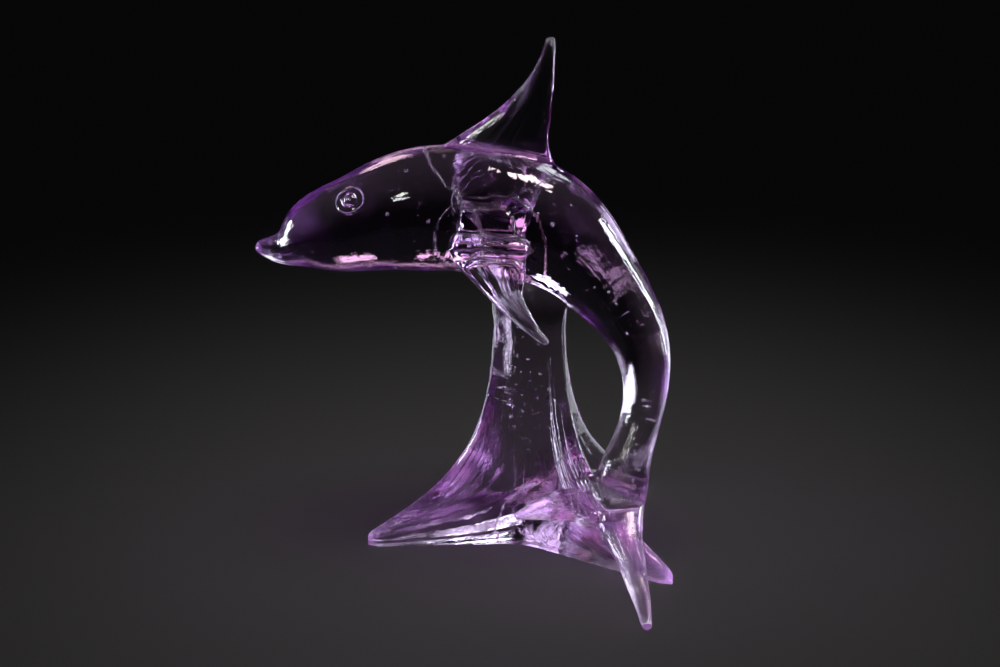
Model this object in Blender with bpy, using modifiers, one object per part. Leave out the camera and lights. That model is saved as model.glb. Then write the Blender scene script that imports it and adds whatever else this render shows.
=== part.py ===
"""A clear lilac glass dolphin, arched over the three-footed glass stem that carries it.

The real object is hot-worked: the body, fins, eyes, flukes, stem and star-shaped foot were joined while the glass
was soft, so it is one solid here too. Units are metres, +Z is up, the dolphin swims towards -X, and the origin is
on the flat underside, below the middle of the stem.
"""

import math

import bmesh
import bpy
import numpy as np
from mathutils import Matrix, Vector

# The figure is a free form. Its tables are drawn in millimetres for a stature of DRAWN_STATURE, and follow STATURE.
STATURE = 0.199
DRAWN_STATURE = 199.0

# The stem and its three pulled feet
STEM_RIDGE = 0.0150
STEM_HOLLOW = 0.0125
STEM_SINK = 0.008
FOOT_REACH = {"left": 0.0680, "front": 0.0708, "back": 0.0655}
FOOT_HEADING = {"left": 192.1, "front": 319.4, "back": 400.5}
FOOT_TIP_HEIGHT = 0.0042
FOOT_FLARE = {"left": 0.0245, "front": 0.0245, "back": 0.0290}
FLARE_FULLNESS = 1.15
FOOT_SHARPNESS = 1.0
FOOT_ROUNDING = 0.0027
WALL_HEIGHT = 0.0085
WALL_SHOULDER = 0.0065
WALL_RADIUS = 0.0155
UNDERSIDE_CUT = 0.003

# The tail end stands on the ridge of the front foot, this far into the glass
TAIL_SINK = 0.006

# How finely each form is drawn before it is fused. Steps and rings crowd towards the points and the floor.
LIMB_SIDES = 28
BODY_SIDES = 36
BODY_RINGS = 90
FIN_RINGS = 36
BLADE_RINGS = 24
FLUKE_RINGS = 30
BALL_SEGMENTS = 28
BALL_RINGS = 18
STAR_STEPS = 18
STAR_CROWDING = 1.7
STEM_RINGS = 26
STEM_CROWDING = 1.6
EYE_RING_STEPS = 24
EYE_RING_SIDES = 8
LOWEST_SHARE = 0.05

# How finely the fused glass is worked
VOXEL = 0.0013
MELT_PASSES = 5
FACETS = 7400

# Middle of the body from beak to tail: x, y, z, half height, half width, in drawn millimetres
BODY = (
    (-106.0, 0.0, 120.5, 1.9, 2.1),
    (-101.4, 0.0, 119.9, 4.1, 4.6),
    (-95.3, 0.0, 119.7, 6.7, 6.9),
    (-87.7, 0.0, 123.0, 12.1, 11.0),
    (-69.8, 0.0, 128.7, 18.1, 16.7),
    (-46.9, 0.0, 134.3, 23.1, 21.4),
    (-21.2, 0.0, 134.8, 24.0, 22.4),
    (3.6, -0.5, 128.0, 23.0, 21.6),
    (25.1, -3.0, 109.0, 16.5, 16.2),
    (40.4, -7.0, 87.2, 11.6, 11.7),
    (43.4, -14.5, 64.9, 8.5, 8.8),
    (37.7, -23.0, 45.3, 8.7, 9.0),
    (35.3, -26.0, 38.2, 10.0, 9.4),
)
TAIL_END = (34.5, -28.0)
TAIL_END_HALF = (8.2, 8.4)

# Back fin in level slices: x and z of the middle, half chord, half thickness
BACK_FIN = (
    (-18.7, 150.0, 27.3, 5.2),
    (-14.4, 159.0, 20.5, 4.2),
    (-6.7, 168.7, 13.2, 3.3),
    (0.5, 180.1, 6.9, 2.7),
    (4.2, 190.0, 3.6, 2.4),
    (6.0, 199.4, 2.0, 2.0),
)

# One side fin: a pressed pad, a folded roll and its lip, each a squashed ball of x, y, z, and three radii
SIDE_FIN_FOLDS = (
    (-17.3, -21.6, 134.9, 12.2, 6.8, 7.0),
    (-16.2, -27.5, 127.8, 15.4, 6.6, 5.6),
    (-15.4, -29.5, 121.8, 10.6, 5.4, 4.4),
)
# The blade pulled down from the lip: x, y, z, half chord, half thickness
SIDE_FIN_BLADE = (
    (-14.6, -30.5, 121.5, 10.2, 4.6),
    (-12.4, -32.5, 116.0, 8.8, 4.0),
    (-9.2, -33.5, 109.5, 6.4, 3.4),
    (-4.2, -33.5, 102.0, 4.4, 2.9),
    (0.6, -32.5, 96.0, 3.0, 2.5),
    (4.6, -31.5, 92.3, 1.6, 1.7),
)

# The two flukes, from the tail end out: x, y, z, half chord, half thickness
FLUKE_FACE = (-0.30, -0.40, 0.87)
LEFT_FLUKE = (
    (34.5, -26.5, 27.0, 8.0, 7.0),
    (29.0, -25.0, 26.3, 12.5, 6.6),
    (23.2, -23.4, 24.8, 14.0, 5.7),
    (16.2, -21.6, 23.0, 10.6, 4.2),
    (6.9, -21.4, 20.3, 6.7, 3.2),
    (-0.8, -21.2, 17.9, 3.7, 2.5),
    (-7.0, -21.3, 15.8, 1.7, 1.7),
)
FRONT_FLUKE = (
    (33.0, -24.0, 27.0, 11.5, 7.5),
    (34.2, -43.1, 18.5, 7.7, 4.4),
    (36.1, -52.4, 14.5, 5.8, 3.4),
    (37.6, -62.0, 10.3, 4.5, 2.8),
    (38.9, -69.7, 6.9, 3.5, 2.4),
    (39.9, -81.2, 2.5, 2.0, 2.0),
)

# Eyes: a ring with a bead in it, laid on the head, whose taper leans them towards the beak
EYE_MIDDLE = (-67.6, -12.9, 141.6)
EYE_RING_RADIUS = 4.3
EYE_RING_THICKNESS = 1.6
EYE_BEAD_RADIUS = 2.9
EYE_LEAN = 0.28

CREASE_ANGLE = 50.0
GLASS_ROUGHNESS = 0.02
GLASS_COLOUR = (0.62, 0.36, 0.72, 1.0)
GLASS_IOR = 1.52
SIDE = Vector((0.0, 1.0, 0.0))
UP = Vector((0.0, 0.0, 1.0))


def real(drawn):
    """A drawn length in metres at the figure's stature."""
    return drawn * STATURE / DRAWN_STATURE


def clear_scene():
    for old in list(bpy.data.objects):
        bpy.data.objects.remove(old, do_unlink=True)


def smooth_rows(stations, count):
    """Rows evenly spaced along the natural spline through the stations, whose first three columns are a place."""
    table = np.array(stations, dtype=float)
    steps = np.linalg.norm(np.diff(table[:, :3], axis=0), axis=1)
    along = np.concatenate(([0.0], np.cumsum(steps)))
    last = len(table) - 1
    system = np.eye(last + 1)
    pull = np.zeros_like(table)
    for i in range(1, last):
        system[i, i - 1:i + 2] = steps[i - 1], 2 * (steps[i - 1] + steps[i]), steps[i]
        pull[i] = 6 * ((table[i + 1] - table[i]) / steps[i] - (table[i] - table[i - 1]) / steps[i - 1])
    bend = np.linalg.solve(system, pull)
    rows = []
    for s in np.linspace(0.0, along[-1], count):
        i = min(int(np.searchsorted(along, s, side="right")) - 1, last - 1)
        h = steps[i]
        a = (along[i + 1] - s) / h
        b = 1.0 - a
        row = a * table[i] + b * table[i + 1]
        row = row + ((a ** 3 - a) * bend[i] + (b ** 3 - b) * bend[i + 1]) * h * h / 6
        rows.append(row)
    return rows


def skin(name, rings):
    """A closed solid through rings of points, each ring with as many points as the next."""
    mesh = bpy.data.meshes.new(name)
    form = bmesh.new()
    loops = [[form.verts.new(point) for point in ring] for ring in rings]
    for low, high in zip(loops, loops[1:]):
        for i in range(len(low)):
            j = (i + 1) % len(low)
            form.faces.new((low[i], low[j], high[j], high[i]))
    form.faces.new(list(reversed(loops[0])))
    form.faces.new(loops[-1])
    bmesh.ops.recalc_face_normals(form, faces=form.faces[:])
    form.to_mesh(mesh)
    form.free()
    return bpy.data.objects.new(name, mesh)


def limb(name, stations, across, count, facing=None, sides=LIMB_SIDES):
    """An oval bar along drawn stations. Half chord is turned away from across, half thickness lies along it."""
    rows = smooth_rows(stations, count)
    places = [Vector(row[:3]) for row in rows]
    rings = []
    for i, row in enumerate(rows):
        ahead = facing or (places[min(i + 1, count - 1)] - places[max(i - 1, 0)]).normalized()
        thick = (across - ahead * across.dot(ahead)).normalized()
        chord = thick.cross(ahead)
        ring = []
        for k in range(sides):
            turn = 2 * math.pi * k / sides
            point = places[i] + chord * (math.cos(turn) * row[3]) + thick * (math.sin(turn) * row[4])
            ring.append([real(value) for value in point])
        rings.append(ring)
    return skin(name, rings)


def ball(name, middle, radii):
    """A squashed ball in drawn millimetres."""
    mesh = bpy.data.meshes.new(name)
    form = bmesh.new()
    bmesh.ops.create_uvsphere(form, u_segments=BALL_SEGMENTS, v_segments=BALL_RINGS, radius=1.0)
    place = Matrix.Translation([real(value) for value in middle])
    size = Matrix.Diagonal([real(value) for value in radii] + [1.0])
    bmesh.ops.transform(form, matrix=place @ size, verts=form.verts[:])
    form.to_mesh(mesh)
    form.free()
    return bpy.data.objects.new(name, mesh)


def foot_ridge(foot, height):
    """How far the ridge of a foot stands out from the stem's middle at a height."""
    rise = max(0.0, height - FOOT_TIP_HEIGHT) / FOOT_FLARE[foot]
    return STEM_RIDGE + (FOOT_REACH[foot] - STEM_RIDGE) * math.exp(-rise ** FLARE_FULLNESS)


def ridge_height(foot, reach):
    """How high the ridge of a foot is at a distance from the stem's middle."""
    share = min(max((reach - STEM_RIDGE) / (FOOT_REACH[foot] - STEM_RIDGE), LOWEST_SHARE), 1.0)
    return FOOT_TIP_HEIGHT + FOOT_FLARE[foot] * (-math.log(share)) ** (1 / FLARE_FULLNESS)


def hollow_radius(height):
    """Distance from the stem's middle to the hollow between two feet: a low wall below, the slim stem above."""
    share = min(max((height - WALL_HEIGHT) / WALL_SHOULDER, 0.0), 1.0)
    share = share * share * (3 - 2 * share)
    return WALL_RADIUS + (STEM_HOLLOW - WALL_RADIUS) * share


def star_ring(height):
    """The three-pointed section of stem and foot: a sharp star, thickened all round so that its points are blunt."""
    names = list(FOOT_HEADING)
    hollow = hollow_radius(height) - FOOT_ROUNDING
    ring = []
    for here, there in zip(names, names[1:] + names[:1]):
        start = math.radians(FOOT_HEADING[here])
        end = math.radians(FOOT_HEADING[there])
        if end < start:
            end += 2 * math.pi
        half = (end - start) / 2
        shares = [(k / STAR_STEPS) ** STAR_CROWDING for k in range(STAR_STEPS + 1)]
        outward = [(here, start, 1.0, share) for share in shares[:-1]]
        inward = [(there, end, -1.0, share) for share in reversed(shares[1:])]
        for foot, heading, sign, share in outward + inward:
            ridge = foot_ridge(foot, height) - FOOT_ROUNDING
            dip = math.sin(share * math.pi / 2) ** FOOT_SHARPNESS
            radius = 1 / (1 / ridge + (1 / hollow - 1 / ridge) * dip)
            angle = heading + sign * half * share
            ring.append(Vector((radius * math.cos(angle), radius * math.sin(angle), height)))
    blunt = []
    for i, point in enumerate(ring):
        along = ring[(i + 1) % len(ring)] - ring[i - 1]
        blunt.append(point + Vector((along.y, -along.x, 0.0)).normalized() * FOOT_ROUNDING)
    return blunt


def stem_and_feet():
    """The stem runs from below the floor, where it is cut flat later, up into the belly."""
    belly = min(BODY, key=lambda row: abs(row[0]))
    top = real(belly[2] - belly[3]) + STEM_SINK
    heights = [-UNDERSIDE_CUT] + [top * (k / STEM_RINGS) ** STEM_CROWDING for k in range(STEM_RINGS + 1)]
    return skin("stem", [star_ring(height) for height in heights])


def tail_seat():
    """Height in drawn millimetres at which the tail end meets the ridge of the front foot."""
    reach = math.hypot(real(TAIL_END[0]), real(TAIL_END[1]))
    return (ridge_height("front", reach) - TAIL_SINK) / real(1.0)


def body():
    end = (TAIL_END[0], TAIL_END[1], tail_seat()) + TAIL_END_HALF
    return limb("body", BODY + (end,), SIDE, BODY_RINGS, sides=BODY_SIDES)


def back_fin():
    rows = [(x, 0.0, z, chord, thick) for x, z, chord, thick in BACK_FIN]
    return limb("back_fin", rows, SIDE, FIN_RINGS, facing=UP)


def side_fin():
    """The fin towards -Y: a gather of glass pressed on the flank, folded over and pulled down to a blade."""
    pieces = [ball("fold", row[:3], row[3:]) for row in SIDE_FIN_FOLDS]
    pieces.append(limb("blade", SIDE_FIN_BLADE, SIDE, BLADE_RINGS))
    return pieces


def flukes():
    face = Vector(FLUKE_FACE).normalized()
    fluke_rows = {"left_fluke": LEFT_FLUKE, "front_fluke": FRONT_FLUKE}
    return [limb(name, rows, face, FLUKE_RINGS) for name, rows in fluke_rows.items()]


def eye():
    """The eye towards -Y, turned to face straight out from the middle of the head."""
    head = min(BODY, key=lambda row: abs(row[0] - EYE_MIDDLE[0]))
    outward = Vector((0.0, EYE_MIDDLE[1] - head[1], EYE_MIDDLE[2] - head[2])).normalized()
    outward = Vector((-EYE_LEAN, outward.y, outward.z)).normalized()
    turn = outward.to_track_quat("Z", "Y").to_matrix().to_4x4()
    ring = []
    for k in range(EYE_RING_STEPS):
        angle = 2 * math.pi * k / EYE_RING_STEPS
        middle = Vector((math.cos(angle), math.sin(angle), 0.0))
        loop = []
        for j in range(EYE_RING_SIDES):
            tilt = 2 * math.pi * j / EYE_RING_SIDES
            wide = EYE_RING_RADIUS + EYE_RING_THICKNESS * math.cos(tilt)
            loop.append(middle * wide + UP * (EYE_RING_THICKNESS * math.sin(tilt)))
        ring.append(loop)
    mesh = bpy.data.meshes.new("eye_ring")
    form = bmesh.new()
    place = Matrix.Translation(EYE_MIDDLE) @ turn
    loops = [[form.verts.new([real(value) for value in place @ point]) for point in loop] for loop in ring]
    for k in range(EYE_RING_STEPS):
        this, after = loops[k], loops[(k + 1) % EYE_RING_STEPS]
        for j in range(EYE_RING_SIDES):
            up = (j + 1) % EYE_RING_SIDES
            form.faces.new((this[j], after[j], after[up], this[up]))
    bmesh.ops.recalc_face_normals(form, faces=form.faces[:])
    form.to_mesh(mesh)
    form.free()
    return [bpy.data.objects.new("eye_ring", mesh), ball("eye_bead", EYE_MIDDLE, [EYE_BEAD_RADIUS] * 3)]


def mirrored(piece):
    """The same piece on the other flank."""
    twin = bpy.data.objects.new(piece.name + "_far", piece.data.copy())
    form = bmesh.new()
    form.from_mesh(twin.data)
    bmesh.ops.scale(form, vec=(1.0, -1.0, 1.0), verts=form.verts[:])
    bmesh.ops.reverse_faces(form, faces=form.faces[:])
    form.to_mesh(twin.data)
    form.free()
    return twin


def glass():
    material = bpy.data.materials.new("lilac_glass")
    material.use_nodes = True
    shader = material.node_tree.nodes["Principled BSDF"]
    shader.inputs["Base Color"].default_value = GLASS_COLOUR
    shader.inputs["Roughness"].default_value = GLASS_ROUGHNESS
    shader.inputs["Metallic"].default_value = 0.0
    shader.inputs["IOR"].default_value = GLASS_IOR
    shader.inputs["Transmission Weight"].default_value = 1.0
    return material


def settle(piece):
    """Bake a piece's modifiers into its mesh."""
    seen = piece.evaluated_get(bpy.context.evaluated_depsgraph_get())
    worked = bpy.data.meshes.new_from_object(seen)
    piece.modifiers.clear()
    piece.data = worked


def melt_together(pieces, collection):
    """Fuse the overlapping pieces into one skin and soften it, as the torch does."""
    form = bmesh.new()
    for piece in pieces:
        form.from_mesh(piece.data)
    mesh = bpy.data.meshes.new("glass_dolphin")
    form.to_mesh(mesh)
    form.free()
    for piece in pieces:
        bpy.data.objects.remove(piece, do_unlink=True)
    dolphin = bpy.data.objects.new("glass_dolphin", mesh)
    collection.objects.link(dolphin)
    remesh = dolphin.modifiers.new("fuse", "REMESH")
    remesh.mode = "VOXEL"
    remesh.voxel_size = VOXEL
    soften = dolphin.modifiers.new("soften", "SMOOTH")
    soften.factor = 0.5
    soften.iterations = MELT_PASSES
    settle(dolphin)
    dolphin.data.calc_loop_triangles()
    facet = dolphin.modifiers.new("facet", "DECIMATE")
    facet.ratio = FACETS / len(dolphin.data.loop_triangles)
    settle(dolphin)
    return dolphin


def press_on(dolphin, pieces, cutters):
    """Join small pieces that keep their crisp edges, because they are applied last."""
    for piece in pieces:
        cutters.objects.link(piece)
        piece.hide_render = True
        piece.display_type = "WIRE"
        join = dolphin.modifiers.new(piece.name, "BOOLEAN")
        join.operation = "UNION"
        join.solver = "EXACT"
        join.object = piece
    settle(dolphin)


def cut_underside(dolphin):
    """Grind the feet flat at z = 0."""
    form = bmesh.new()
    form.from_mesh(dolphin.data)
    everything = form.verts[:] + form.edges[:] + form.faces[:]
    cut = bmesh.ops.bisect_plane(form, geom=everything, plane_co=(0, 0, 0), plane_no=(0, 0, 1), clear_inner=True)
    rim = [item for item in cut["geom_cut"] if isinstance(item, bmesh.types.BMEdge)]
    bmesh.ops.holes_fill(form, edges=rim, sides=0)
    bmesh.ops.triangulate(form, faces=form.faces[:])
    bmesh.ops.recalc_face_normals(form, faces=form.faces[:])
    form.to_mesh(dolphin.data)
    form.free()


def main():
    clear_scene()
    collection = bpy.data.collections.new("glass_dolphin_figurine")
    bpy.context.scene.collection.children.link(collection)
    cutters = bpy.data.collections.new("applied_beads")
    bpy.context.scene.collection.children.link(cutters)
    fin = side_fin()
    pieces = [body(), back_fin(), stem_and_feet()] + flukes() + fin
    pieces += [mirrored(piece) for piece in fin]
    dolphin = melt_together(pieces, collection)
    near_eye = eye()
    press_on(dolphin, near_eye + [mirrored(piece) for piece in near_eye], cutters)
    cut_underside(dolphin)
    dolphin.data.materials.clear()
    dolphin.data.materials.append(glass())
    dolphin.data.shade_smooth()
    dolphin.data.set_sharp_from_angle(angle=math.radians(CREASE_ANGLE))
    dolphin.data.calc_loop_triangles()
    print("triangles", len(dolphin.data.loop_triangles))


main()
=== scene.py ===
# %% [markdown]
# # A clear lilac glass dolphin
# The real figurine is hot-worked. A solid gather of glass is pulled into a dolphin, and while it is soft the fins,
# the eyes and a stem with three pulled feet are joined to it, so the whole thing is one piece of clear glass.
# This lesson models it as a glass worker does: plain bars of glass first, then the torch that fuses them.
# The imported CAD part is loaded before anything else. It is the fixed frame that the looks are built around.

import math
import random

import bmesh
import bpy
from mathutils import Matrix, Vector
from mathutils.kdtree import KDTree


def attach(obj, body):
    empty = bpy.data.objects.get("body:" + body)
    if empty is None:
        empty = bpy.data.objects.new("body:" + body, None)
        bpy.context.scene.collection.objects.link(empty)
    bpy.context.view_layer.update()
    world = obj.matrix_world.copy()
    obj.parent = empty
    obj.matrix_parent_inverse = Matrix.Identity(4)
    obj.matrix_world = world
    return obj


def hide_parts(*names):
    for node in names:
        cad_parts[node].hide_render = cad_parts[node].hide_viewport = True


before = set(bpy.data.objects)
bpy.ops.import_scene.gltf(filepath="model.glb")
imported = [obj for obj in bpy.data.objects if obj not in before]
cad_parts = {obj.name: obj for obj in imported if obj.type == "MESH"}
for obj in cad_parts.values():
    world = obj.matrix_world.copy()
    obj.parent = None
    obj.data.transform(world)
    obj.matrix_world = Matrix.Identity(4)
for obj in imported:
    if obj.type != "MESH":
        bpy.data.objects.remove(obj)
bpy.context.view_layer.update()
bpy.ops.object.select_all(action="DESELECT")

# %% [markdown]
# The camera comes early, because every proportion is judged through it. The photograph looks down on the figurine
# by 20 degrees from about half a metre away, with a normal 50 mm lens. Blender's camera looks along its own -Z, so
# a turn of 70 degrees about X tips it 20 degrees below level.

# %% Camera
CAMERA_PLACE = (-0.0126, -0.5100, 0.2705)
CAMERA_ELEVATION = 20.0
LENS = 50
SENSOR_WIDTH = 36

bpy.ops.object.camera_add(location=CAMERA_PLACE, rotation=(math.radians(90 - CAMERA_ELEVATION), 0, 0))
camera = bpy.context.object
camera.name = "camera"
camera.data.lens = LENS
camera.data.sensor_width = SENSOR_WIDTH
bpy.context.scene.camera = camera
print("camera at", CAMERA_PLACE)

# %% [markdown]
# A dolphin of pulled glass has no straight line in it. Each part is described by a few stations: a place, half a
# height and half a width, in millimetres. A natural cubic spline through the stations gives the rows between them,
# as a bent wooden batten does on a drawing floor.

# %% Rows along a spline
MILLIMETRE = 0.001
SIDE = Vector((0, 1, 0))
UP = Vector((0, 0, 1))


def solve_bends(steps, table):
    """How sharply the batten bends at each station, by elimination along the chain."""
    last = len(table) - 1
    width = len(table[0])
    gain = [0.0] * (last + 1)
    bend = [[0.0] * width for _ in range(last + 1)]
    for i in range(1, last):
        across = 2 * (steps[i - 1] + steps[i]) - steps[i - 1] * gain[i - 1]
        gain[i] = steps[i] / across
        for c in range(width):
            after = (table[i + 1][c] - table[i][c]) / steps[i]
            before = (table[i][c] - table[i - 1][c]) / steps[i - 1]
            bend[i][c] = (6 * (after - before) - steps[i - 1] * bend[i - 1][c]) / across
    for i in range(last - 1, 0, -1):
        for c in range(width):
            bend[i][c] -= gain[i] * bend[i + 1][c]
    return bend


def rows_along(stations, count):
    """Evenly spaced rows on the spline, whose first three columns are a place."""
    table = [[float(value) for value in row] for row in stations]
    steps = [math.dist(a[:3], b[:3]) for a, b in zip(table, table[1:])]
    bend = solve_bends(steps, table)
    rows = []
    for k in range(count):
        s = sum(steps) * k / (count - 1)
        i = 0
        while i < len(steps) - 1 and s > steps[i]:
            s -= steps[i]
            i += 1
        h = steps[i]
        b = s / h
        a = 1 - b
        row = []
        for c in range(len(table[i])):
            curve = ((a ** 3 - a) * bend[i][c] + (b ** 3 - b) * bend[i + 1][c]) * h * h / 6
            row.append(a * table[i][c] + b * table[i + 1][c] + curve)
        rows.append(row)
    return rows


print("rows from three stations", len(rows_along([(0, 0, 0), (1, 0, 1), (3, 0, 0)], 7)))

# %% [markdown]
# A pulled bar could be a curve with a bevel, but its section would stay round. Here a circle is added at each row in
# edit mode, stretched along its own two axes, and all the circles are bridged in one go. The two open ends are
# filled, so that each bar is a closed solid, ready to be fused with the others.

# %% A bar of glass
def start_empty(name, sides):
    """A new object in edit mode with nothing in it. New points take the places of those that are deleted here, so
    the circle has as many as the rings to come, which then keep their points in order."""
    bpy.ops.object.select_all(action="DESELECT")
    bpy.ops.mesh.primitive_circle_add(vertices=sides, radius=MILLIMETRE)
    piece = bpy.context.object
    piece.name = name
    bpy.ops.object.mode_set(mode="EDIT")
    bpy.ops.mesh.delete(type="VERT")
    return piece


def bridge_rings():
    """In edit mode, bridges the rings in their order and fills the two open ends."""
    bpy.ops.mesh.select_all(action="SELECT")
    bpy.ops.mesh.bridge_edge_loops(type="SINGLE")
    bpy.ops.mesh.select_all(action="SELECT")
    bpy.ops.mesh.fill_holes(sides=0)
    bpy.ops.mesh.normals_make_consistent(inside=False)
    bpy.ops.object.mode_set(mode="OBJECT")


def thick_way(ahead, across=SIDE):
    """The way a bar's thickness is measured: square to the bar, and as near to across as that allows."""
    return (across - ahead * across.dot(ahead)).normalized()


def draw_bar(name, stations, across, rings, facing=None, sides=32):
    """An oval bar. The half chord lies away from the direction named across, the half thickness lies along it."""
    rows = rows_along(stations, rings)
    places = [Vector(row[:3]) for row in rows]
    bar = start_empty(name, sides)
    for i, row in enumerate(rows):
        ahead = facing or (places[min(i + 1, rings - 1)] - places[max(i - 1, 0)]).normalized()
        thick = thick_way(ahead, across)
        chord = thick.cross(ahead)
        turn = Matrix((chord, thick, ahead)).transposed()
        middle = places[i] * MILLIMETRE
        bpy.ops.mesh.primitive_circle_add(vertices=sides, radius=MILLIMETRE, location=middle,
                                          rotation=turn.to_euler())
        bpy.ops.transform.resize(value=(row[3], row[4], 1), orient_type="GLOBAL", orient_matrix=turn,
                                 orient_matrix_type="GLOBAL", center_override=middle)
    bridge_rings()
    print(name, len(bar.data.polygons), "faces")
    return bar


# %% [markdown]
# The body arches from the beak over to the tail, which comes down behind the stem and stands on one of its feet.
# The head tapers to a short beak with a slight hook under its tip.

# %% Body
BODY = [
    (-106.0, 0.0, 120.5, 1.9, 2.1),
    (-101.4, 0.0, 119.9, 4.1, 4.6),
    (-95.3, 0.0, 119.7, 6.7, 6.9),
    (-87.7, 0.0, 123.0, 12.1, 11.0),
    (-69.8, 0.0, 128.7, 18.1, 16.7),
    (-46.9, 0.0, 134.3, 23.1, 21.4),
    (-21.2, 0.0, 134.8, 24.0, 22.4),
    (3.6, -0.5, 128.0, 23.0, 21.6),
    (25.1, -3.0, 109.0, 16.5, 16.2),
    (40.4, -7.0, 87.2, 11.6, 11.7),
    (43.4, -14.5, 64.9, 8.5, 8.8),
    (37.7, -23.0, 45.3, 8.7, 9.0),
    (35.3, -26.0, 38.2, 10.0, 9.4),
    (34.5, -28.0, 17.6, 8.2, 8.4),
]
body = draw_bar("body", BODY, SIDE, rings=120, sides=48)

# %% [markdown]
# The back fin is pulled up from a pad laid on the back, and its tip leans forward over its own root. Its sections
# are kept level all the way up, so that the pad follows the back and the fin still ends in a thin, round point.

# %% Back fin
BACK_FIN = [
    (-18.7, 0.0, 150.0, 27.3, 5.2),
    (-14.4, 0.0, 159.0, 20.5, 4.2),
    (-6.7, 0.0, 168.7, 13.2, 3.3),
    (0.5, 0.0, 180.1, 6.9, 2.7),
    (4.2, 0.0, 190.0, 3.6, 2.4),
    (6.0, 0.0, 199.4, 2.0, 2.0),
]
back_fin = draw_bar("back_fin", BACK_FIN, SIDE, rings=60, facing=UP)

# %% [markdown]
# The tail ends in two flukes. They were pulled out of one flattened pad, so both keep the slope of its face: one
# reaches left over the foot, the other comes forward and rests its tip on the shelf.

# %% Flukes
FLUKE_FACE = Vector((-0.30, -0.40, 0.87)).normalized()
LEFT_FLUKE = [
    (34.5, -26.5, 27.0, 8.0, 7.0),
    (29.0, -25.0, 26.3, 12.5, 6.6),
    (23.2, -23.4, 24.8, 14.0, 5.7),
    (16.2, -21.6, 23.0, 10.6, 4.2),
    (6.9, -21.4, 20.3, 6.7, 3.2),
    (-0.8, -21.2, 17.9, 3.7, 2.5),
    (-7.0, -21.3, 15.8, 1.7, 1.7),
]
FRONT_FLUKE = [
    (33.0, -24.0, 27.0, 11.5, 7.5),
    (34.2, -43.1, 18.5, 7.7, 4.4),
    (36.1, -52.4, 14.5, 5.8, 3.4),
    (37.6, -62.0, 10.3, 4.5, 2.8),
    (38.9, -69.7, 6.9, 3.5, 2.4),
    (39.9, -81.2, 2.5, 2.0, 2.0),
]
left_fluke = draw_bar("left_fluke", LEFT_FLUKE, FLUKE_FACE, rings=40)
front_fluke = draw_bar("front_fluke", FRONT_FLUKE, FLUKE_FACE, rings=50)

# %% [markdown]
# Each side fin is a gather pressed on the flank, folded over itself while soft and then pulled down to a blade. The
# pad starts as a cube whose edges are rounded in edit mode with Bevel, because the real one is a block squeezed by a
# flat tool. Its top face is tilted a little, as in the photograph.

# %% Pad of a side fin
FIN_PAD = {"middle": (-17.2, -22.0, 136.2), "half": (11.3, 8.2, 6.6), "rounding": 2.6, "tilt": -7}
PAD_TOP_SHARE = (0.86, 0.92, 1)
PAD_BEVEL_STEPS = 6


def only_faces(piece, test):
    """In edit mode, selects the faces whose middle passes the test."""
    form = bmesh.from_edit_mesh(piece.data)
    for face in form.faces:
        face.select = bool(test(face.calc_center_median()))
    form.select_flush_mode()
    bmesh.update_edit_mesh(piece.data)


def press_pad(name, middle, half, rounding, tilt):
    """A block of glass with rounded edges and a tilted top, in millimetres."""
    bpy.ops.object.select_all(action="DESELECT")
    bpy.ops.mesh.primitive_cube_add(size=2 * MILLIMETRE)
    pad = bpy.context.object
    pad.name = name
    bpy.ops.object.mode_set(mode="EDIT")
    bpy.ops.transform.resize(value=half, center_override=(0, 0, 0))
    top = (0, 0, half[2] * MILLIMETRE)
    only_faces(pad, lambda spot: spot.z > 0.9 * top[2])
    bpy.ops.transform.rotate(value=math.radians(tilt), orient_axis="Y", center_override=top)
    bpy.ops.transform.resize(value=PAD_TOP_SHARE, center_override=top)
    bpy.ops.mesh.select_all(action="SELECT")
    bpy.ops.mesh.bevel(offset=rounding * MILLIMETRE, segments=PAD_BEVEL_STEPS)
    bpy.ops.mesh.select_all(action="SELECT")
    bpy.ops.transform.translate(value=Vector(middle) * MILLIMETRE)
    bpy.ops.object.mode_set(mode="OBJECT")
    print(name, len(pad.data.polygons), "faces")
    return pad


fin_pad = press_pad("fin_pad", **FIN_PAD)

# %% [markdown]
# The roll is where the gather was folded over: a lying bar with round ends. The blade hangs from it, and its rings
# are level slices, because its left and right edges were read from the photograph at equal heights.

# %% Roll and blade
FIN_ROLL = [
    (-31.0, -28.4, 128.4, 1.2, 1.6),
    (-29.6, -28.4, 128.7, 3.6, 4.2),
    (-25.5, -28.6, 129.0, 5.0, 6.2),
    (-15.0, -29.0, 128.6, 5.0, 6.6),
    (-6.0, -28.8, 127.8, 4.6, 6.0),
    (-2.6, -28.4, 127.6, 3.0, 3.8),
    (-1.4, -28.4, 127.6, 1.2, 1.6),
]
FIN_BLADE = [
    (-16.4, -30.6, 127.0, 12.4, 3.6),
    (-14.0, -31.4, 121.0, 10.0, 2.6),
    (-12.2, -32.4, 117.0, 8.3, 2.0),
    (-10.8, -33.0, 113.0, 6.2, 1.8),
    (-6.9, -33.6, 107.0, 4.4, 1.7),
    (-1.6, -33.6, 100.0, 2.6, 1.5),
    (3.0, -33.2, 95.2, 1.7, 1.3),
    (4.6, -33.0, 93.4, 1.0, 1.0),
]
DOWN = -UP
fin_roll = draw_bar("fin_roll", FIN_ROLL, SIDE, rings=40)
fin_blade = draw_bar("fin_blade", FIN_BLADE, SIDE, rings=60, facing=DOWN, sides=40)

# %% [markdown]
# Pulling soft glass leaves its edges thick and its middle thin. Both edges of the blade get a rim, a ridge runs down
# its face, and a lip shows where the fold ends. Each is a thin round bar, half sunk in the blade.

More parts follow.
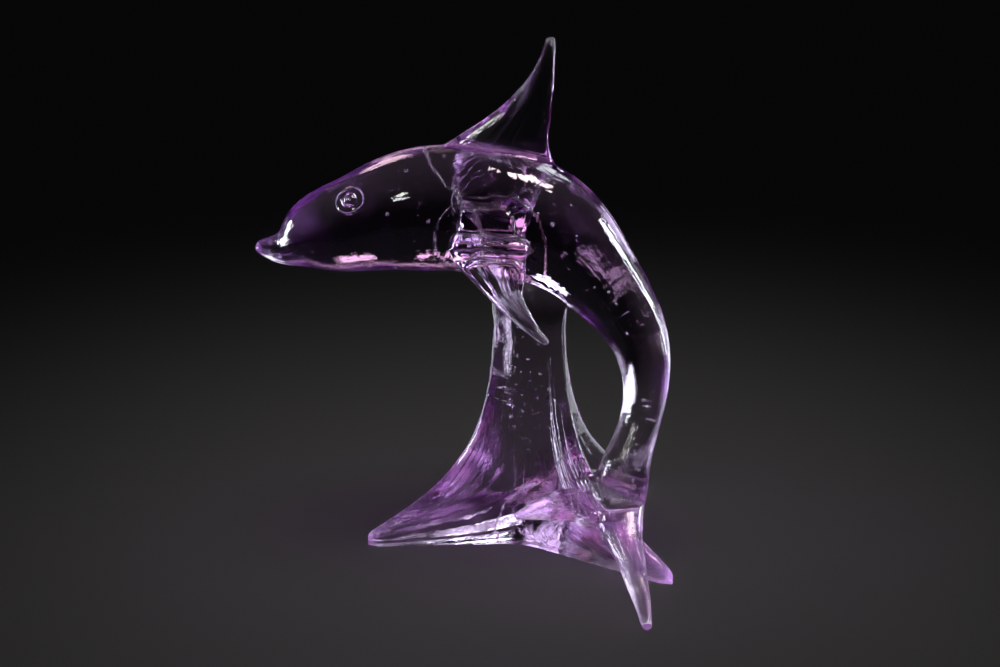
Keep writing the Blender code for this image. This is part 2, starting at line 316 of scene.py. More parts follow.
# %% Rims, ridge and lip
THREADS = {
    "left_rim": [
        (-30.0, -31.0, 129.0, 1.6),
        (-27.2, -32.0, 124.2, 1.8),
        (-23.4, -32.8, 120.2, 1.9),
        (-16.2, -34.0, 112.8, 1.8),
        (-10.7, -34.6, 107.0, 1.7),
        (-3.4, -34.6, 100.0, 1.5),
        (2.4, -33.9, 94.9, 1.4),
        (4.7, -33.2, 93.2, 1.3),
    ],
    "right_rim": [
        (-4.8, -32.6, 126.5, 1.3),
        (-4.9, -33.0, 117.3, 1.4),
        (-5.6, -33.6, 113.0, 1.3),
        (-3.2, -34.2, 106.0, 1.3),
        (0.8, -34.0, 98.8, 1.2),
        (4.2, -33.2, 94.2, 1.2),
    ],
    "ridge": [
        (-19.4, -34.0, 123.2, 0.8),
        (-16.6, -34.4, 118.0, 1.1),
        (-11.2, -35.2, 110.3, 1.1),
        (-5.2, -35.4, 103.6, 1.0),
        (1.4, -34.4, 96.3, 0.9),
        (3.8, -33.6, 94.2, 0.8),
    ],
    "lip": [
        (-25.4, -33.4, 121.9, 0.9),
        (-23.0, -34.2, 124.0, 1.1),
        (-18.0, -35.0, 124.9, 1.1),
        (-11.5, -35.2, 124.7, 1.1),
        (-7.4, -34.6, 123.9, 1.1),
        (-5.4, -33.6, 121.4, 0.9),
    ],
}
THREAD_ACROSS = SIDE + UP * 0.3
THREAD_SIDES = 14


def draw_thread(name, spots, rings=40):
    """A thin round bar through spots of x, y, z and radius."""
    return draw_bar(name, [spot + spot[3:] for spot in spots], THREAD_ACROSS, rings, sides=THREAD_SIDES)


fin_threads = [draw_thread(name, spots) for name, spots in THREADS.items()]
print("threads", len(fin_threads))

# %% [markdown]
# A voxel Remesh gives all these overlapping pieces one skin. Smooth then does what heat does to glass: each joint
# gets a soft fillet and each edge is rounded. The fin is fused by itself with fine voxels, so that its ridges last.

# %% Fuse one side fin
FIN_VOXEL = 0.00052
FIN_MELT_PASSES = 4


def pick(piece):
    """Selects one piece and nothing else."""
    bpy.ops.object.select_all(action="DESELECT")
    bpy.context.view_layer.objects.active = piece
    piece.select_set(True)


def apply_modifier(piece, name, kind, **values):
    """Adds a modifier, sets it and bakes it into the mesh."""
    pick(piece)
    step = piece.modifiers.new(name, kind)
    for key, value in values.items():
        setattr(step, key, value)
    bpy.ops.object.modifier_apply(modifier=step.name)


def join_pieces(name, pieces):
    """Joins pieces into the first of them."""
    pick(pieces[0])
    for piece in pieces:
        piece.select_set(True)
    bpy.ops.object.join()
    whole = bpy.context.object
    whole.name = name
    return whole


def fuse(piece, voxel, passes):
    """The torch: one skin over all that overlaps, then so many passes of melting."""
    apply_modifier(piece, "fuse", "REMESH", mode="VOXEL", voxel_size=voxel)
    apply_modifier(piece, "melt", "SMOOTH", factor=0.5, iterations=passes)
    print(piece.name, len(piece.data.polygons), "faces")


near_fin = join_pieces("near_fin", [fin_pad, fin_roll, fin_blade] + fin_threads)
fuse(near_fin, FIN_VOXEL, FIN_MELT_PASSES)

# %% [markdown]
# The far flank has the same fin. A copy is mirrored in edit mode, which turns its faces inside out, so its normals
# are made to point outwards again.

# %% The far side fin
def far_twin(piece):
    """A copy of a piece on the other flank, with a mesh of its own."""
    twin = piece.copy()
    twin.data = piece.data.copy()
    twin.name = "far_" + piece.name
    bpy.context.collection.objects.link(twin)
    pick(twin)
    bpy.ops.object.mode_set(mode="EDIT")
    bpy.ops.mesh.select_all(action="SELECT")
    bpy.ops.transform.resize(value=(1, -1, 1), center_override=(0, 0, 0))
    bpy.ops.mesh.normals_make_consistent(inside=False)
    bpy.ops.object.mode_set(mode="OBJECT")
    return twin


far_fin = far_twin(near_fin)
print("both fins", near_fin.name, far_fin.name)

# %% [markdown]
# The stem is squeezed into three ridges that run out into three long feet. No primitive has this section, so rings
# of points are placed by a rule: along each ridge the outline reaches out, and between two ridges it bends in to a
# hollow, sharply near the floor and gently up the stem. At the top the stem closes in a dome that is pressed into the
# belly, which leaves a curved crease there. All lengths here are metres.

# %% Rule for the star section
STEM_RIDGE = 0.0150
STEM_HOLLOW = 0.0125
FOOT_REACH = {"left": 0.0680, "front": 0.0708, "back": 0.0655}
FOOT_HEADING = {"left": 192.1, "front": 319.4, "back": 400.5}
FOOT_TIP_HEIGHT = 0.0042
FOOT_FLARE = {"left": 0.0245, "front": 0.0245, "back": 0.0290}
FLARE_FULLNESS = 1.15
POINT_ROUNDING = 0.0027
WALL_HEIGHT = 0.0085
WALL_SHOULDER = 0.0065
WALL_RADIUS = 0.0155
STAR_STEPS = 24
STAR_CROWDING = 1.7
SHOULDER = [
    (0.080, 1.00),
    (0.090, 0.99),
    (0.0985, 1.07),
    (0.104, 1.02),
    (0.109, 0.84),
    (0.1125, 0.55),
    (0.1143, 0.15),
]


def foot_ridge(foot, height):
    """How far out the ridge of a foot stands at a height."""
    rise = max(0.0, height - FOOT_TIP_HEIGHT) / FOOT_FLARE[foot]
    return STEM_RIDGE + (FOOT_REACH[foot] - STEM_RIDGE) * math.exp(-rise ** FLARE_FULLNESS)


def hollow_radius(height):
    """How far out the hollow between two feet lies: a low wall at the floor, the slim stem above it."""
    share = min(max((height - WALL_HEIGHT) / WALL_SHOULDER, 0.0), 1.0)
    share = share * share * (3 - 2 * share)
    return WALL_RADIUS + (STEM_HOLLOW - WALL_RADIUS) * share


def shoulder_share(height):
    """How much the top of the stem swells, and then closes, at a height."""
    for (low, before), (high, after) in zip(SHOULDER, SHOULDER[1:]):
        if low <= height <= high:
            return before + (after - before) * (height - low) / (high - low)
    return SHOULDER[0][1] if height < SHOULDER[0][0] else SHOULDER[-1][1]


def star_points(height):
    """The three-pointed section at a height, thickened all round so that its points are blunt."""
    feet = list(FOOT_HEADING)
    shares = [(k / STAR_STEPS) ** STAR_CROWDING for k in range(STAR_STEPS + 1)]
    hollow = hollow_radius(height) - POINT_ROUNDING
    ring = []
    for here, there in zip(feet, feet[1:] + feet[:1]):
        start = math.radians(FOOT_HEADING[here])
        end = math.radians(FOOT_HEADING[there])
        half = ((end - start) % (2 * math.pi)) / 2
        outward = [(here, start, 1, share) for share in shares[:-1]]
        inward = [(there, end, -1, share) for share in reversed(shares[1:])]
        for foot, heading, sign, share in outward + inward:
            ridge = foot_ridge(foot, height) - POINT_ROUNDING
            radius = 1 / (1 / ridge + (1 / hollow - 1 / ridge) * math.sin(share * math.pi / 2))
            angle = heading + sign * half * share
            ring.append(Vector((radius * math.cos(angle), radius * math.sin(angle), height)))
    swell = shoulder_share(height)
    blunt = []
    for i, point in enumerate(ring):
        along = ring[(i + 1) % len(ring)] - ring[i - 1]
        point = point + Vector((along.y, -along.x, 0)).normalized() * POINT_ROUNDING
        blunt.append(Vector((point.x * swell, point.y * swell, height)))
    return blunt


print("points in a star ring", len(star_points(0.0)))

# %% [markdown]
# A circle with as many points is added for each ring, its points are moved on to the star, and the rings are bridged
# as before. The lowest ring is below the shelf, because the feet are ground flat later, and the highest is inside
# the belly.

# %% Stem and feet
STEM_TOP = SHOULDER[-1][0]
STEM_BOTTOM = -0.003
STEM_RINGS = 60
STEM_CROWDING = 1.6


def draw_stem():
    heights = [STEM_BOTTOM] + [STEM_TOP * (k / STEM_RINGS) ** STEM_CROWDING for k in range(STEM_RINGS + 1)]
    count = len(star_points(0.0))
    stem = start_empty("stem", count)
    for height in heights:
        bpy.ops.mesh.primitive_circle_add(vertices=count, radius=STEM_RIDGE, location=(0, 0, height))
    form = bmesh.from_edit_mesh(stem.data)
    form.verts.ensure_lookup_table()
    for i, height in enumerate(heights):
        for k, point in enumerate(star_points(height)):
            form.verts[i * count + k].co = point
    bmesh.update_edit_mesh(stem.data)
    bridge_rings()
    return stem


stem = draw_stem()
print("stem", len(stem.data.polygons), "faces")

# %% [markdown]
# Where the left foot was pulled out, the tool left two long soft ridges on the side that faces the front. The points
# of a star ring are counted from the left foot on, so a height and a number name a place on that side.

# %% Ridges on the left foot
FOOT_RIDGES = [
    [(5.0, 1), (8.0, 5), (12.0, 10), (17.0, 16), (22.0, 24), (27.0, 32)],
    [(3.0, 1), (4.5, 5), (6.0, 10), (8.0, 16), (10.0, 22)],
]
RIDGE_RADIUS = 1.3

foot_ridges = []
for line in FOOT_RIDGES:
    spots = [tuple(star_points(height * MILLIMETRE)[k] / MILLIMETRE) + (RIDGE_RADIUS,) for height, k in line]
    foot_ridges.append(draw_thread("foot_ridge", spots))
stem = join_pieces("stem", [stem] + foot_ridges)
print("ridges", len(foot_ridges))

# %% [markdown]
# Now the torch for the large pieces. The voxels are coarser and there are more passes of Smooth, because these were
# worked hotter than the fins. Even facets matter, because glass shows each bump of its surface as a kink in what is
# seen through it. The stem was a gather of its own, so it is fused by itself for now.

# %% Fuse the body
VOXEL = 0.00104
MELT_PASSES = 8

dolphin = join_pieces("glass_figure", [body, back_fin, left_fluke, front_fluke])
fuse(dolphin, VOXEL, MELT_PASSES)
fuse(stem, VOXEL, MELT_PASSES)

# %% [markdown]
# The dolphin was set on its stem, and the side fins pressed on its flanks, when the glass had already stiffened, so
# these joints are crisp. A Boolean union joins them and keeps the edge. The same helper cuts the mouth: a thin bar
# along each side of the beak is taken away. Pieces that don't touch each other go through one Boolean together.

# %% Stem, side fins and mouth
MOUTH = [
    (-104.5, -3.0, 119.3, 0.7),
    (-101.5, -5.0, 118.9, 0.8),
    (-97.5, -7.0, 118.7, 0.8),
    (-93.5, -9.0, 119.2, 0.75),
    (-90.0, -10.9, 120.4, 0.5),
]


def combine(whole, piece, operation):
    """A Boolean with a piece that is used up by it."""
    apply_modifier(whole, piece.name, "BOOLEAN", operation=operation, solver="EXACT", object=piece)
    bpy.data.objects.remove(piece, do_unlink=True)


combine(dolphin, stem, "UNION")
combine(dolphin, join_pieces("side_fins", [near_fin, far_fin]), "UNION")
mouth = draw_thread("mouth", MOUTH)
combine(dolphin, join_pieces("mouth", [mouth, far_twin(mouth)]), "DIFFERENCE")
print("with fins", len(dolphin.data.polygons), "faces")

# %% [markdown]
# The eyes are laid on last, so they keep crisp edges: a ring of thin glass thread with a bead in it. A torus and a
# sphere are enough for that. They lean towards the beak, because the head tapers there, and a Boolean union makes
# them part of the same glass.

# %% Eyes
EYE_MIDDLE = Vector((-67.6, -12.9, 141.6))
EYE_RING_RADIUS = 4.5
EYE_RING_THICKNESS = 1.5
EYE_BEAD_RADIUS = 3.0
EYE_LEAN = 0.28
HEAD_MIDDLE = Vector((0.0, 0.0, 128.7))


def eye_turn(side=1):
    """How an eye is turned: away from the middle of the head, and a little towards the beak."""
    outward = Vector((0, side * (EYE_MIDDLE.y - HEAD_MIDDLE.y), EYE_MIDDLE.z - HEAD_MIDDLE.z)).normalized()
    return Vector((-EYE_LEAN, outward.y, outward.z)).normalized().to_track_quat("Z", "Y").to_euler()


def draw_eye():
    turn = eye_turn()
    place = EYE_MIDDLE * MILLIMETRE
    bpy.ops.object.select_all(action="DESELECT")
    bpy.ops.mesh.primitive_torus_add(major_segments=40, minor_segments=16, major_radius=EYE_RING_RADIUS * MILLIMETRE,
                                     minor_radius=EYE_RING_THICKNESS * MILLIMETRE, location=place, rotation=turn)
    ring = bpy.context.object
    bpy.ops.mesh.primitive_uv_sphere_add(segments=28, ring_count=18, radius=EYE_BEAD_RADIUS * MILLIMETRE,
                                         location=place, rotation=turn)
    bead = bpy.context.object
    for piece, name in ((ring, "eye_ring"), (bead, "eye_bead")):
        piece.name = name
        pick(piece)
        bpy.ops.object.transform_apply(location=True, rotation=True, scale=True)
    return [ring, bead]


for piece in draw_eye():
    combine(dolphin, join_pieces(piece.name + "s", [piece, far_twin(piece)]), "UNION")
print("with eyes", len(dolphin.data.polygons), "faces")

# %% [markdown]
# The feet are ground flat. Bisect in edit mode cuts at the shelf, throws away what is below and fills the cut.

# %% Ground underside
pick(dolphin)
bpy.ops.object.mode_set(mode="EDIT")
bpy.ops.mesh.select_all(action="SELECT")
bpy.ops.mesh.bisect(plane_co=(0, 0, 0), plane_no=(0, 0, 1), use_fill=True, clear_inner=True)
bpy.ops.object.mode_set(mode="OBJECT")
lowest = min(vertex.co.z for vertex in dolphin.data.vertices)
print("lowest point", round(lowest, 5))

# %% [markdown]
# The front wall of the foot carries two rows of short, shallow strokes, scratched into the cold glass. They are no
# letters. Each stroke is a thin bar laid along the wall, which a Boolean takes away.

# %% Strokes on the front wall
WALL_LEFT = Vector((-5.8, -14.6, 0))
WALL_RIGHT = Vector((7.6, -20.6, 0))
STROKE_ROWS = [
    {"height": 6.6, "count": 9, "start": 0.06, "end": 0.95},
    {"height": 3.6, "count": 5, "start": 0.30, "end": 0.80},
]
STROKE_HALF = 0.9
STROKE_SHORTENING = (0.5, 1.0)
STROKE_LEAN = 0.05
STROKE_DEPTH = 0.28
STROKE_RINGS = 5
WALL_STANDOFF = 12
SEED = 12
dice = random.Random(SEED)


def wall_spot(share, height):
    """The place where a level line from outside meets the front wall, in millimetres."""
    start = WALL_LEFT.lerp(WALL_RIGHT, share) + UP * height
    outward = Vector((WALL_RIGHT.y - WALL_LEFT.y, WALL_LEFT.x - WALL_RIGHT.x, 0)).normalized()
    origin = (start + outward * WALL_STANDOFF) * MILLIMETRE
    hit, place, _, _ = dolphin.ray_cast(origin, -outward)
    return place / MILLIMETRE if hit else None


def draw_strokes():
    strokes = []
    for row in STROKE_ROWS:
        for k in range(row["count"]):
            share = row["start"] + (row["end"] - row["start"]) * k / (row["count"] - 1)
            lean = dice.uniform(-STROKE_LEAN, STROKE_LEAN)
            half = STROKE_HALF * dice.uniform(*STROKE_SHORTENING)
            spots = [wall_spot(share + end * lean, row["height"] + end * half) for end in (-1, 0, 1)]
            if all(spots):
                line = [tuple(spot) + (STROKE_DEPTH,) for spot in spots]
                strokes.append(draw_thread("stroke", line, rings=STROKE_RINGS))
    return strokes


strokes = draw_strokes()
print("strokes", len(strokes))
combine(dolphin, join_pieces("strokes", strokes), "DIFFERENCE")

# %% [markdown]
# Where the feet were pulled, bubbles were drawn out to long threads of air that run down inside their ridges. One
# more lies on each side under the crease of the mouth. They are thin bars for now, and become hollows further on.

# %% Threads of air
AIR_THREADS = {"front": 18, "left": 7, "back": 5}
AIR_THREAD_SPANS = {"inward": (0.45, 0.85), "aside": (-2.3, 2.3), "top": (35, 78), "bottom": (8, 22)}
AIR_THREAD_SPOTS = 7
AIR_THREAD_RADIUS = 0.24
AIR_THREAD_END = 0.4
MOUTH_AIR_INWARD = 0.78
MOUTH_AIR_RADIUS = 0.26
AIR_SECTION = {"rings": 18, "sides": 6}


def foot_direction(foot):
    heading = math.radians(FOOT_HEADING[foot])
    return math.cos(heading), math.sin(heading)


def draw_air_thread(foot, inward, aside, top, bottom):
    """A thread inside the ridge of a foot, from one height to another, which thins out towards both ends."""
    east, north = foot_direction(foot)
    last = AIR_THREAD_SPOTS - 1
    spots = []
    for k in range(AIR_THREAD_SPOTS):
        height = bottom * (top / bottom) ** (1 - k / last)
        reach = inward * foot_ridge(foot, height * MILLIMETRE) / MILLIMETRE
        radius = AIR_THREAD_RADIUS * math.sin(math.pi * (k + AIR_THREAD_END) / (last + 2 * AIR_THREAD_END))
        spots.append((east * reach - north * aside, north * reach + east * aside, height, radius, radius))
    return draw_bar("air_thread", spots, SIDE, **AIR_SECTION)


air_threads = []
for foot, count in AIR_THREADS.items():
    for _ in range(count):
        drawn = {name: dice.uniform(*span) for name, span in AIR_THREAD_SPANS.items()}
        air_threads.append(draw_air_thread(foot, **drawn))
for side in (1, -1):
    line = [(x, side * y * MOUTH_AIR_INWARD, z, MOUTH_AIR_RADIUS, MOUTH_AIR_RADIUS) for x, y, z, _ in MOUTH[1:]]
    air_threads.append(draw_bar("air_thread", line, UP, **AIR_SECTION))
print("air threads", len(air_threads))

# %% [markdown]
# Seed bubbles are sealed in the body and the stem. Pulling the glass stretched them along it, so each is a tiny
# sphere drawn out in the direction of the pull.

# %% Seed bubbles
BUBBLES_IN_BODY = 90
BUBBLES_IN_STEM = 50
BUBBLE_REACH = 0.80
BUBBLE_RADIUS = (0.13, 0.34)
BUBBLE_STRETCH = (1.0, 3.2)
BUBBLE_ROWS = 200
ROWS_LEFT_OUT = (4, 6)
STEM_LINE = [(0.0, 0.0, height, 9.0, 9.0) for height in (12.0, 30.0, 60.0, 100.0)]


def bubble_spots(stations, count):
    """Places scattered through a bar, each with the direction in which the glass was pulled."""
    rows = rows_along(stations, BUBBLE_ROWS)
    spots = []
    for _ in range(count):
        i = dice.randrange(ROWS_LEFT_OUT[0], BUBBLE_ROWS - ROWS_LEFT_OUT[1])
        here, there = Vector(rows[i][:3]), Vector(rows[i + 1][:3])
        ahead = (there - here).normalized()
        thick = thick_way(ahead)
        chord = thick.cross(ahead)
        angle = dice.uniform(0, 2 * math.pi)
        far = BUBBLE_REACH * math.sqrt(dice.random())
        spot = here + chord * (rows[i][3] * far * math.cos(angle)) + thick * (rows[i][4] * far * math.sin(angle))
        spots.append((spot, ahead))
    return spots


def blow_bubble(spot, ahead, radius, stretch):
    """In edit mode, adds a sphere that is drawn out along the direction ahead."""
    turn = ahead.to_track_quat("Z", "Y")
    bpy.ops.mesh.primitive_ico_sphere_add(subdivisions=2, radius=radius * MILLIMETRE, location=spot * MILLIMETRE,
                                          rotation=turn.to_euler())
    bpy.ops.transform.resize(value=(1, 1, stretch), orient_type="GLOBAL", orient_matrix=turn.to_matrix(),
                             orient_matrix_type="GLOBAL", center_override=spot * MILLIMETRE)


bubbles = start_empty("bubbles", sides=12)
spots = bubble_spots(BODY[2:], BUBBLES_IN_BODY) + bubble_spots(STEM_LINE, BUBBLES_IN_STEM)
for spot, ahead in spots:
    blow_bubble(spot, ahead, dice.uniform(*BUBBLE_RADIUS), dice.uniform(*BUBBLE_STRETCH))
bpy.ops.object.mode_set(mode="OBJECT")
print("bubbles", len(spots))

# %% [markdown]
# The bead of each eye holds a larger bubble, and a thread of air was caught on each side of the ring that was laid
# round it. Those two threads are what makes the eye bright in clear glass.

# %% Air in the eyes
EYE_BUBBLE_SHIFT = Vector((-0.6, -0.6, 0.6))
EYE_BUBBLE_RADIUS = 0.75
EYE_AIR_RINGS = [
    {"radius": 2.30, "out": -0.90, "thickness": 0.42},
    {"radius": 5.35, "out": 0.20, "thickness": 0.44},
]


def on_flank(place, side):
    """A place on the near flank for side 1, and its mirror image on the far flank for side -1."""
    return Vector((place.x, side * place.y, place.z))


pick(bubbles)
bpy.ops.object.mode_set(mode="EDIT")
for side in (1, -1):
    blow_bubble(on_flank(EYE_MIDDLE + EYE_BUBBLE_SHIFT, side), UP, EYE_BUBBLE_RADIUS, 1.0)
    for ring in EYE_AIR_RINGS:
        turn = eye_turn(side)
        place = on_flank(EYE_MIDDLE, side) + turn.to_matrix() @ UP * ring["out"]
        bpy.ops.mesh.primitive_torus_add(major_segments=48, minor_segments=10, rotation=turn,
                                         major_radius=ring["radius"] * MILLIMETRE, location=place * MILLIMETRE,
                                         minor_radius=ring["thickness"] * MILLIMETRE)
bpy.ops.object.mode_set(mode="OBJECT")
print("air rings", 2 * len(EYE_AIR_RINGS))

# %% [markdown]
# Air in glass is a hole in it, so it is modelled as one: a closed wall inside the solid whose faces point into the
# hole. All the air is joined, its faces are turned to point inwards, and it becomes part of the figure's mesh.

# %% Seal the air in
bubbles = join_pieces("bubbles", [bubbles] + air_threads)
bpy.ops.object.mode_set(mode="EDIT")
bpy.ops.mesh.select_all(action="SELECT")
bpy.ops.mesh.normals_make_consistent(inside=True)
bpy.ops.object.mode_set(mode="OBJECT")
dolphin = join_pieces("glass_figure", [dolphin, bubbles])
print("with air", len(dolphin.data.polygons), "faces")

# %% [markdown]
# Pulled glass is never quite even: fine cords run along it in the direction in which it was drawn out. To let the
# material follow them, every point of the mesh is told where it lies along its nearest bar and how far round it.
# A circle is used for the way round, because an angle would jump where it closes. Each bar starts at a number of its
# own, so that no two bars carry the same cords.

# %% Direction of the pull
PULL_ROWS = 60
PULL_START = 7.0


def foot_line(foot):
    """The line along which a foot was pulled: down the stem, then out to the tip, in millimetres."""
    east, north = foot_direction(foot)
    reach = FOOT_REACH[foot] / MILLIMETRE
    line = [(0, 104), (0, 60), (8, 26), (0.45 * reach, 9), (reach, 2)]
    return [(east * far, north * far, height) for far, height in line]


PULL_LINES = [BODY, LEFT_FLUKE, FRONT_FLUKE, [BACK_FIN[0], BACK_FIN[2], BACK_FIN[-1]], FIN_BLADE]
PULL_LINES += [foot_line(foot) for foot in FOOT_HEADING]


def mark_pull(piece):
    """Stores a vector at each point: the way round its bar in x and y, the way along it in z."""
    tree_rows = []
    for index, line in enumerate(PULL_LINES):
        rows = [Vector(row) for row in rows_along([row[:3] for row in line], PULL_ROWS)]
        for here, there in zip(rows, rows[1:]):
            ahead = (there - here).normalized()
            along = PULL_START * index + (here - rows[0]).length
            tree_rows.append((here, ahead, thick_way(ahead), along))
    tree = KDTree(len(tree_rows))
    for i, row in enumerate(tree_rows):
        tree.insert(row[0], i)
    tree.balance()
    pull = piece.data.attributes.new("pull", "FLOAT_VECTOR", "POINT")
    values = []
    for vertex in piece.data.vertices:
        place = vertex.co / MILLIMETRE
        middle, ahead, thick, along = tree_rows[tree.find(place)[1]]
        out = place - middle
        out = (out - ahead * out.dot(ahead)).normalized()
        values += [out.dot(thick), out.dot(thick.cross(ahead)), along + (place - middle).dot(ahead)]
    pull.data.foreach_set("vector", values)


mark_pull(dolphin)
print("pull stored on", len(dolphin.data.vertices), "points")

# %% [markdown]
# Clear coloured glass takes its colour from its depth, not from its surface: thin fins are almost clear and the body
# is deep violet. So the surface is plain clear glass, and a Volume Absorption node inside it dims the light. Two
# patterns bend the surface a little: fine cords along the pull, and the broad folds between them. Rays from the
# lamps pass through a Transparent shader instead, so that light reaches the shelf under the glass, as it really does.

# %% Glass
GLASS_IOR = 1.52
SURFACE_COLOUR = (0.97, 0.95, 0.99, 1.0)
DEPTH_COLOUR = (0.643, 0.200, 0.752, 1.0)
DEPTH_DENSITY = 17.0
SHADOW_COLOUR = (0.90, 0.85, 0.95, 1.0)
CORD_COUNT = 9.0
CORD_LENGTH = 0.012
CORD_BUMP = 0.00022
FOLD_COUNT = 1.7
FOLD_LENGTH = 0.030
FOLD_BUMP = 0.0009
SMOOTH_UP_TO = 50


def pattern(nodes, links, along, length, count, detail):
    """Noise drawn out along the pull: as many lines round a bar as count, and the longer the smaller length is."""
    stretch = nodes.new("ShaderNodeMapping")
    stretch.inputs["Scale"].default_value = (1.0, 1.0, length)
    links.new(along.outputs["Vector"], stretch.inputs["Vector"])
    noise = nodes.new("ShaderNodeTexNoise")
    noise.inputs["Scale"].default_value = count
    noise.inputs["Detail"].default_value = detail
    links.new(stretch.outputs["Vector"], noise.inputs["Vector"])
    return noise.outputs["Fac"]


def bump(nodes, links, height, depth, normal=None):
    """Raises a pattern by a depth in metres, on top of an earlier bump if there is one."""
    node = nodes.new("ShaderNodeBump")
    node.inputs["Strength"].default_value = 1.0
    node.inputs["Distance"].default_value = depth
    links.new(height, node.inputs["Height"])
    if normal:
        links.new(normal, node.inputs["Normal"])
    return node.outputs["Normal"]


def make_glass():
    """Clear glass with plain values, coloured by its depth and bent a little by two patterns."""
    material = bpy.data.materials.new("lilac_glass_clear")
    material.use_nodes = True
    nodes = material.node_tree.nodes
    links = material.node_tree.links
    shader = nodes["Principled BSDF"]
    shader.inputs["Base Color"].default_value = SURFACE_COLOUR
    shader.inputs["Roughness"].default_value = 0.0
    shader.inputs["Metallic"].default_value = 0.0
    shader.inputs["IOR"].default_value = GLASS_IOR
    shader.inputs["Transmission Weight"].default_value = 1.0
    along = nodes.new("ShaderNodeAttribute")
    along.attribute_name = "pull"
    folds = pattern(nodes, links, along, FOLD_LENGTH, FOLD_COUNT, 1.0)
    cords = pattern(nodes, links, along, CORD_LENGTH, CORD_COUNT, 3.0)
    normal = bump(nodes, links, folds, FOLD_BUMP)
    normal = bump(nodes, links, cords, CORD_BUMP, normal)
    links.new(normal, shader.inputs["Normal"])
    lamp_ray = nodes.new("ShaderNodeLightPath")
    clear = nodes.new("ShaderNodeBsdfTransparent")
    clear.inputs["Color"].default_value = SHADOW_COLOUR
    mix = nodes.new("ShaderNodeMixShader")
    links.new(lamp_ray.outputs["Is Shadow Ray"], mix.inputs["Fac"])
    links.new(shader.outputs["BSDF"], mix.inputs[1])
    links.new(clear.outputs["BSDF"], mix.inputs[2])
    links.new(mix.outputs["Shader"], nodes["Material Output"].inputs["Surface"])
    depth = nodes.new("ShaderNodeVolumeAbsorption")
    depth.inputs["Color"].default_value = DEPTH_COLOUR
    depth.inputs["Density"].default_value = DEPTH_DENSITY
    links.new(depth.outputs["Volume"], nodes["Material Output"].inputs["Volume"])
    return material


dolphin.data.materials.clear()
dolphin.data.materials.append(make_glass())
pick(dolphin)
bpy.ops.object.shade_smooth_by_angle(angle=math.radians(SMOOTH_UP_TO))
print("glass on", dolphin.name)

# %% [markdown]
# The figurine stands on a plain pale floor. The floor is a hair below the ground feet, so that no two surfaces share
# a plane, and so wide that its edge is far off in the dark.

# %% Floor
FLOOR_SIZE = 6.0
FLOOR_GAP = 0.0003
FLOOR_COLOUR = (0.55, 0.54, 0.55, 1)
FLOOR_ROUGHNESS = 0.85


def plain_material(name, colour, roughness):
    material = bpy.data.materials.new(name)
    material.use_nodes = True
    shader = material.node_tree.nodes["Principled BSDF"]
    shader.inputs["Base Color"].default_value = colour
    shader.inputs["Roughness"].default_value = roughness
    return material


bpy.ops.object.select_all(action="DESELECT")
bpy.ops.mesh.primitive_plane_add(size=FLOOR_SIZE, location=(0, 0, -FLOOR_GAP))
floor = bpy.context.object
floor.name = "floor"
floor.data.materials.append(plain_material("pale_floor", FLOOR_COLOUR, FLOOR_ROUGHNESS))
print("floor", FLOOR_SIZE, "m wide")

# %% [markdown]
# Light that enters clear glass is thrown from wall to wall before it comes out again. Each such reflection counts as
# a bounce, and with the usual few the foot would be black where it should sparkle. Light that the glass focuses on
# the floor is switched off: it would be a bright pool there, which shines back through the glass and hides its form.

# %% Bounces
paths = bpy.context.scene.cycles
paths.max_bounces = 32
paths.glossy_bounces = 24
paths.transmission_bounces = 24
paths.transparent_max_bounces = 24
paths.caustics_refractive = False
paths.caustics_reflective = False
print("bounces", paths.max_bounces)

# %% [markdown]
# Glass is lit by what it reflects and refracts, so the lamps here are soft boxes that only the glass receives. Light
# linking keeps them off the floor, which would be too bright beside the dark glass. A box that shows in the glass is
# as bright as its watts per square metre, so that is what the table gives: much for a box that is only reflected,
# little for one that is seen straight through the glass. Cool boxes stand low at the sides and warm ones high behind.

# %% Lamps
LOOK_AT = Vector((0.0, 0.0, 0.08))
LAMP_DISTANCE = 0.60
COOL = (0.86, 0.90, 1.00)
PLAIN = (1.00, 0.97, 0.96)
WARM = (1.00, 0.80, 0.84)
PINK = (1.00, 0.66, 0.82)

glass_only = bpy.data.collections.new("glass_only")
glass_only.objects.link(dolphin)


def soft_light(name, azimuth, elevation, size, strength, colour, receivers, distance=LAMP_DISTANCE, aim=LOOK_AT,
               spread=180):
    """A soft box that faces the figurine. Azimuth 0 is towards the camera and 90 to the right, strength is W/m2."""
    a, e = math.radians(azimuth), math.radians(elevation)
    away = Vector((math.sin(a) * math.cos(e), -math.cos(a) * math.cos(e), math.sin(e)))
    turn = away.to_track_quat("Z", "Y").to_euler()
    bpy.ops.object.light_add(type="AREA", location=aim + away * distance, rotation=turn)
    lamp = bpy.context.object
    lamp.name = name
    lamp.data.shape = "RECTANGLE"
    lamp.data.size, lamp.data.size_y = size
    lamp.data.energy = strength * size[0] * size[1]
    lamp.data.color = colour
    lamp.data.spread = math.radians(spread)
    lamp.light_linking.receiver_collection = receivers


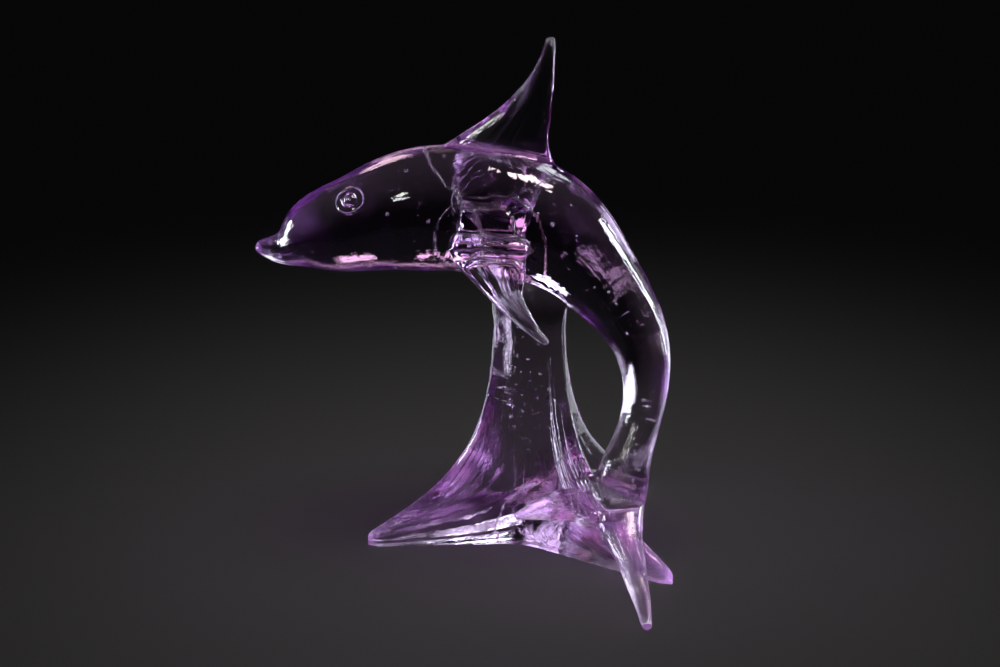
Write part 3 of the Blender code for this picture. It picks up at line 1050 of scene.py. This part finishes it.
GLASS_LAMPS = [
    ("left_panel", 268, 8, (0.10, 0.24), 150, COOL),
    ("right_panel", 102, 10, (0.08, 0.36), 140, COOL),
    ("right_back", 124, 6, (0.06, 0.20), 6, COOL),
    ("back_middle", 164, 25, (0.08, 0.08), 40, COOL),
    ("back_warm", 195, 25, (0.20, 0.10), 5.5, PINK),
    ("back_line", 178, 44, (0.30, 0.05), 4, PINK),
    ("back_left", 216, 45, (0.14, 0.20), 24, PINK),
    ("back_right", 144, 45, (0.14, 0.14), 24, COOL),
    ("overhead", 76, 68, (0.10, 0.20), 110, WARM),
    ("front_left", 325, 38, (0.05, 0.12), 90, PLAIN),
]
for lamp in GLASS_LAMPS:
    soft_light(*lamp, glass_only)
print("lamps round the glass", len(GLASS_LAMPS))

# %% [markdown]
# Seen from above, the upright stem bends a ray round it but keeps it falling, so each edge of the stem shows the
# shelf close by on the other side. Two low boxes stand there, and the stem gets its bright edges from them.

# %% Low lamps for the stem
LOW_AIM = Vector((0.0, 0.0, 0.05))
LOW_DISTANCE = 0.16
LOW_LAMPS = [
    ("low_right", 114, -8, (0.16, 0.06), 7, COOL),
    ("low_left", 246, -8, (0.09, 0.06), 9, COOL),
]
for lamp in LOW_LAMPS:
    soft_light(*lamp, glass_only, distance=LOW_DISTANCE, aim=LOW_AIM)
print("low lamps", len(LOW_LAMPS))

# %% [markdown]
# One wide, weak box is left for the floor alone. Its narrow spread lights a pool under the figurine and leaves the
# rest of the floor and the room in the dark, because clear glass shows its form only against the dark. The Standard
# view transform keeps the full contrast between bright streaks and dark glass.

# %% Floor lamp and dark room
FLOOR_LAMP = ("floor_wash", 0, 86, (0.36, 0.30), 0.34, PLAIN)
FLOOR_LAMP_SPREAD = 60
ROOM_COLOUR = (0.0035, 0.0035, 0.004, 1)

floor_only = bpy.data.collections.new("floor_only")
floor_only.objects.link(floor)
soft_light(*FLOOR_LAMP, floor_only, spread=FLOOR_LAMP_SPREAD)

world = bpy.data.worlds.new("dark_room")
world.use_nodes = True
world.node_tree.nodes["Background"].inputs["Color"].default_value = ROOM_COLOUR
bpy.context.scene.world = world
bpy.context.scene.view_settings.view_transform = "Standard"
print("room", world.name)

# %% Hand over
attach(dolphin, "root")
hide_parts("glass_dolphin")
